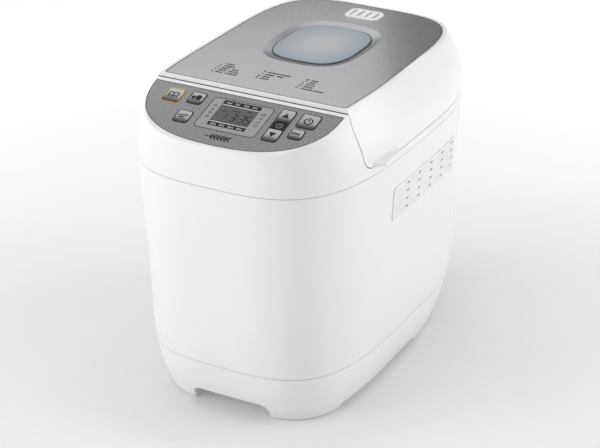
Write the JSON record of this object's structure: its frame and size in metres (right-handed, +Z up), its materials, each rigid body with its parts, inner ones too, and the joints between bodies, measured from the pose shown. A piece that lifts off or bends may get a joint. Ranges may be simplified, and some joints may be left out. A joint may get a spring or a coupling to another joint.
{
  "type": "bread machine",
  "caption": "Upright bread machine with a rear-hinged lid and window, sloped button panel, lift-out pan with folding handle, and a belt-driven kneading paddle.",
  "frame": {"origin": "on the ground plane, under the middle of the machine", "axes": "+X to the right of someone facing the control panel, +Y from front to back, +Z up"},
  "size_m": [0.2375, 0.36, 0.3056],
  "materials": {
    "base_tray": "high gloss white",
    "rubber_feet": "matt black",
    "base_screws": "plain steel",
    "body_shell": "high gloss white",
    "top_frame": "high gloss white",
    "control_panel": "silver metallic paint",
    "menu_light_ring": "amber light ring",
    "lcd_window": "dark clear plastic",
    "lcd_module": "grey display",
    "control_board": "green circuit board",
    "button_switches": "black",
    "chamber": "plain steel",
    "chamber_screws": "plain steel",
    "heating_element": "heat darkened steel tube",
    "element_clips": "plain steel",
    "temperature_sensor": "plain steel",
    "thermal_fuse": "ceramic white",
    "pan_clips": "spring steel",
    "drive_support": "die cast",
    "shaft_bushes": "sintered bronze",
    "drive_belt": "black ribbed rubber",
    "motor_body": "dark grey",
    "motor_mount": "plain steel",
    "motor_grommets": "black rubber",
    "motor_capacitor": "light grey",
    "power_board": "green circuit board",
    "inlet_gland": "black",
    "hinge_brackets": "satin light grey",
    "hinge_pins": "plain steel",
    "lid_shell": "high gloss white",
    "lid_panel": "silver metallic paint",
    "window_gasket": "black silicone",
    "window_glass": "frosted from behind",
    "inner_glass": "clear",
    "lid_liner": "pressed sheet",
    "lid_seal": "grey silicone",
    "steam_vent": "high gloss white",
    "lid_screws": "plain steel",
    "pan": "dark non-stick coating",
    "pan_base": "die cast",
    "shaft_seal": "red silicone and bronze",
    "handle_rivets": "plain steel",
    "pan_handle": "bright wire",
    "paddle": "dark non-stick coating on cast steel",
    "pan_shaft": "plain steel",
    "wing_coupler": "die cast",
    "drive_shaft": "plain steel",
    "drive_coupler": "black nylon",
    "drive_pulley": "natural nylon",
    "motor_shaft": "plain steel",
    "rotor_core": "plain steel",
    "motor_pulley": "turned",
    "motor_fan": "black",
    "menu_button": "light silver",
    "loaf_button": "light silver",
    "crust_button": "light silver",
    "up_button": "light silver",
    "down_button": "light silver",
    "start_button": "light silver",
    "preset_button": "light silver"
  },
  "bodies": {
    "housing": {"base_tray": "base_tray", "rubber_feet": "rubber_feet", "base_screws": "base_screws", "body_shell": "body_shell", "top_frame": "top_frame", "control_panel": "control_panel", "menu_light_ring": "menu_light_ring", "lcd_window": "lcd_window", "lcd_module": "lcd_module", "control_board": "control_board", "button_switches": "button_switches", "chamber": "chamber", "chamber_screws": "chamber_screws", "heating_element": "heating_element", "element_clips": "element_clips", "temperature_sensor": "temperature_sensor", "thermal_fuse": "thermal_fuse", "pan_clips": "pan_clips", "drive_support": "drive_support", "shaft_bushes": "shaft_bushes", "drive_belt": "drive_belt", "motor_body": "motor_body", "motor_mount": "motor_mount", "motor_grommets": "motor_grommets", "motor_capacitor": "motor_capacitor", "power_board": "power_board", "inlet_gland": "inlet_gland", "hinge_brackets": "hinge_brackets", "hinge_pins": "hinge_pins"},
    "lid": {"lid_shell": "lid_shell", "lid_panel": "lid_panel", "window_gasket": "window_gasket", "window_glass": "window_glass", "inner_glass": "inner_glass", "lid_liner": "lid_liner", "lid_seal": "lid_seal", "steam_vent": "steam_vent", "lid_screws": "lid_screws"},
    "pan": {"pan": "pan", "pan_base": "pan_base", "shaft_seal": "shaft_seal", "handle_rivets": "handle_rivets"},
    "pan_handle": {"pan_handle": "pan_handle"},
    "paddle": {"paddle": "paddle", "pan_shaft": "pan_shaft", "wing_coupler": "wing_coupler"},
    "drive": {"drive_shaft": "drive_shaft", "drive_coupler": "drive_coupler", "drive_pulley": "drive_pulley"},
    "rotor": {"motor_shaft": "motor_shaft", "rotor_core": "rotor_core", "motor_pulley": "motor_pulley", "motor_fan": "motor_fan"},
    "menu_button": {"menu_button": "menu_button"},
    "loaf_button": {"loaf_button": "loaf_button"},
    "crust_button": {"crust_button": "crust_button"},
    "up_button": {"up_button": "up_button"},
    "down_button": {"down_button": "down_button"},
    "start_button": {"start_button": "start_button"},
    "preset_button": {"preset_button": "preset_button"}
  },
  "joints": [
    {"name": "lid_hinge", "type": "hinge", "parent": "housing", "child": "lid", "pos_m": [0, 0.175, 0.251], "axis": [-1, 0, 0], "range_deg": [0, 82]},
    {"name": "pan_lift", "type": "slide", "parent": "housing", "child": "pan", "axis": [0, 0, 1], "range_m": [0, 0.05]},
    {"name": "handle_swing", "type": "hinge", "parent": "pan", "child": "pan_handle", "pos_m": [0, 0.031, 0.198], "axis": [0, -1, 0], "range_deg": [0, 180]},
    {"name": "motor_spin", "type": "hinge", "parent": "housing", "child": "rotor", "pos_m": [0, -0.117, 0.05], "axis": [0, 0, 1], "continuous": true},
    {"name": "drive_spin", "type": "hinge", "parent": "housing", "child": "drive", "pos_m": [0, 0.031, 0.05], "axis": [0, 0, 1], "continuous": true},
    {"name": "paddle_spin", "type": "hinge", "parent": "pan", "child": "paddle", "pos_m": [0, 0.031, 0.08], "axis": [0, 0, 1], "continuous": true},
    {"name": "menu_button_press", "type": "slide", "parent": "housing", "child": "menu_button", "axis": [0, 0.2924, -0.9563], "range_m": [0, 0.0008], "stiffness_N_per_m": 400, "springref_m": -0.0005},
    {"name": "loaf_button_press", "type": "slide", "parent": "housing", "child": "loaf_button", "axis": [0, 0.2924, -0.9563], "range_m": [0, 0.0008], "stiffness_N_per_m": 400, "springref_m": -0.0005},
    {"name": "crust_button_press", "type": "slide", "parent": "housing", "child": "crust_button", "axis": [0, 0.2924, -0.9563], "range_m": [0, 0.0008], "stiffness_N_per_m": 400, "springref_m": -0.0005},
    {"name": "up_button_press", "type": "slide", "parent": "housing", "child": "up_button", "axis": [0, 0.2924, -0.9563], "range_m": [0, 0.0008], "stiffness_N_per_m": 400, "springref_m": -0.0005},
    {"name": "down_button_press", "type": "slide", "parent": "housing", "child": "down_button", "axis": [0, 0.2924, -0.9563], "range_m": [0, 0.0008], "stiffness_N_per_m": 400, "springref_m": -0.0005},
    {"name": "start_button_press", "type": "slide", "parent": "housing", "child": "start_button", "axis": [0, 0.2924, -0.9563], "range_m": [0, 0.0008], "stiffness_N_per_m": 400, "springref_m": -0.0005},
    {"name": "preset_button_press", "type": "slide", "parent": "housing", "child": "preset_button", "axis": [0, 0.2924, -0.9563], "range_m": [0, 0.0008], "stiffness_N_per_m": 400, "springref_m": -0.0005}
  ],
  "couplings": [
    {"joint": "drive_spin", "follows": "motor_spin", "ratio": 0.1875},
    {"joint": "paddle_spin", "follows": "motor_spin", "ratio": 0.1875}
  ]
}
